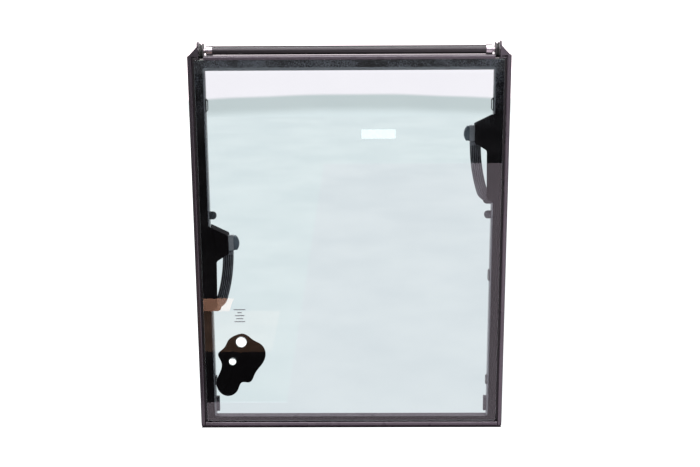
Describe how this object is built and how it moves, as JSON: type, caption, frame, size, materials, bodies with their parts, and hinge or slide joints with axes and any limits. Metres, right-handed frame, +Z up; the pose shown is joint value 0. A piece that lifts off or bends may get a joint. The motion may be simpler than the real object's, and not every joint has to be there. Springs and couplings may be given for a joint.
{
  "type": "cab window sash",
  "caption": "Lift-up cab window: painted steel frame, bonded glass with black printed border, roller cross tube, and grab handles with sprung release levers and latch hooks.",
  "frame": {"origin": "middle of the bottom rail's underside, at half the frame's depth", "axes": "+X to the right seen from outside, -Y out through the glass, +Z up"},
  "size_m": [0.894, 0.1004, 1.1155],
  "materials": {
    "frame_paint": "semi-gloss dark paint",
    "glass": "polished",
    "ceramic_print": "fired black print",
    "adhesive": "matte",
    "seal_rubber": "matte",
    "label_film": "satin film",
    "etched_marking": "etched",
    "tube_paint": "semi-gloss dark paint",
    "bright_steel": "zinc plated",
    "dark_zinc": "dark zinc",
    "roller_plastic": "moulded",
    "bush_bronze": "sintered",
    "handle_plastic": "textured moulding",
    "grip_rubber": "ribbed",
    "lever_plastic": "moulded",
    "pad_rubber": "moulded",
    "hook_steel": "zinc plated",
    "spring_steel": "drawn wire",
    "buffer_rubber": "moulded",
    "shoe_plastic": "moulded",
    "clip_steel": "black paint"
  },
  "bodies": {
    "frame": {"axle_bolts": "bright_steel", "axle_washers": "bright_steel", "blank_label": "label_film", "bottom_rail": "frame_paint", "buffer_studs": "dark_zinc", "ceramic_border": "ceramic_print", "collar_grub_screws": "dark_zinc", "cover_screws": "dark_zinc", "cross_tube": "tube_paint", "ear_bracket_left": "frame_paint", "ear_bracket_right": "frame_paint", "etched_mark": "etched_marking", "glass_adhesive": "adhesive", "glass_pane": "glass", "grip_sleeve_left": "grip_rubber", "grip_sleeve_right": "grip_rubber", "guide_shoe_left": "shoe_plastic", "guide_shoe_right": "shoe_plastic", "handle_body_left": "handle_plastic", "handle_body_right": "handle_plastic", "handle_cover_left": "handle_plastic", "handle_cover_right": "handle_plastic", "handle_screws": "dark_zinc", "lever_pivot_left": "dark_zinc", "lever_pivot_right": "dark_zinc", "lower_clip_left": "clip_steel", "lower_clip_right": "clip_steel", "middle_clip": "clip_steel", "perimeter_seal": "seal_rubber", "return_spring_left": "spring_steel", "return_spring_right": "spring_steel", "rubber_buffer_left": "buffer_rubber", "rubber_buffer_right": "buffer_rubber", "shaft_collar_left": "bright_steel", "shaft_collar_right": "bright_steel", "shoe_screws": "dark_zinc", "stile_left": "frame_paint", "stile_right": "frame_paint", "top_rail": "frame_paint", "tube_plugs": "bright_steel", "upper_clip_left": "clip_steel", "upper_clip_right": "clip_steel", "wiper_print": "ceramic_print"},
    "release_right": {"release_lever_right": "lever_plastic", "thumb_pad_right": "pad_rubber", "latch_hook_right": "hook_steel"},
    "release_left": {"release_lever_left": "lever_plastic", "thumb_pad_left": "pad_rubber", "latch_hook_left": "hook_steel"},
    "roller_right": {"guide_roller_right": "roller_plastic", "roller_bush_right": "bush_bronze"},
    "roller_left": {"guide_roller_left": "roller_plastic", "roller_bush_left": "bush_bronze"}
  },
  "joints": [
    {"name": "release_right_swing", "type": "hinge", "parent": "frame", "child": "release_right", "pos_m": [0.408, 0.057, 0.853], "axis": [0, 0, 1], "range_deg": [-12, 0], "stiffness_Nm_per_rad": 0.15, "springref_deg": 28.65},
    {"name": "release_left_swing", "type": "hinge", "parent": "frame", "child": "release_left", "pos_m": [-0.408, 0.057, 0.537], "axis": [0, 0, 1], "range_deg": [0, 12], "stiffness_Nm_per_rad": 0.15, "springref_deg": -28.65},
    {"name": "roller_right_spin", "type": "hinge", "parent": "frame", "child": "roller_right", "pos_m": [0.4015, 0, 1.0925], "axis": [1, 0, 0], "continuous": true},
    {"name": "roller_left_spin", "type": "hinge", "parent": "frame", "child": "roller_left", "pos_m": [-0.4015, 0, 1.0925], "axis": [1, 0, 0], "continuous": true}
  ]
}
